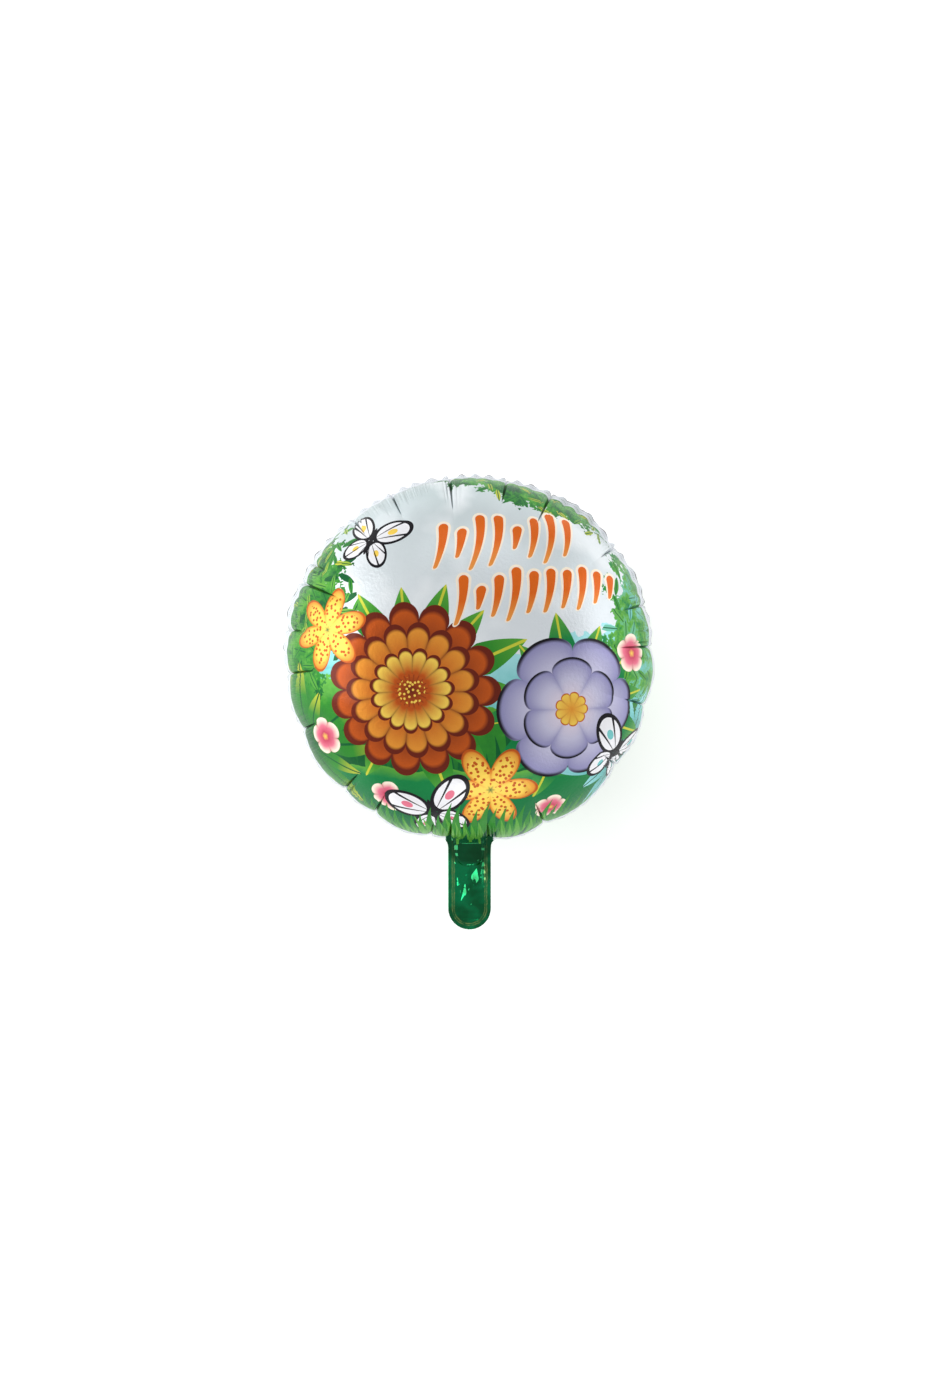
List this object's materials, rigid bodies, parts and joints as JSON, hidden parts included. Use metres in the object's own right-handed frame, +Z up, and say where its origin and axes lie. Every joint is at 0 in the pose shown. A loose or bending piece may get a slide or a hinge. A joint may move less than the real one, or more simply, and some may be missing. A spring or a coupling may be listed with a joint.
{
  "type": "foil balloon",
  "caption": "Round foil party balloon, gas-filled, with a garden print on its front, creased welded rim and a flat filling tail. Lies loose on its back.",
  "frame": {"origin": "middle of the flat spot on the back that the balloon lies on", "axes": "+Z up, out of the printed front; +Y to the top of the print, away from the filling tail; +X to the right of the print"},
  "size_m": [0.348, 0.4281, 0.2011],
  "materials": {
    "front_foil": "satin printed foil, pale blue-grey sky over a green meadow, with a metallic green tail",
    "back_foil": "satin printed foil, plain sky over a green meadow, with a metallic green tail"
  },
  "bodies": {
    "root": {"front_foil": "front_foil", "back_foil": "back_foil"}
  },
  "joints": []
}
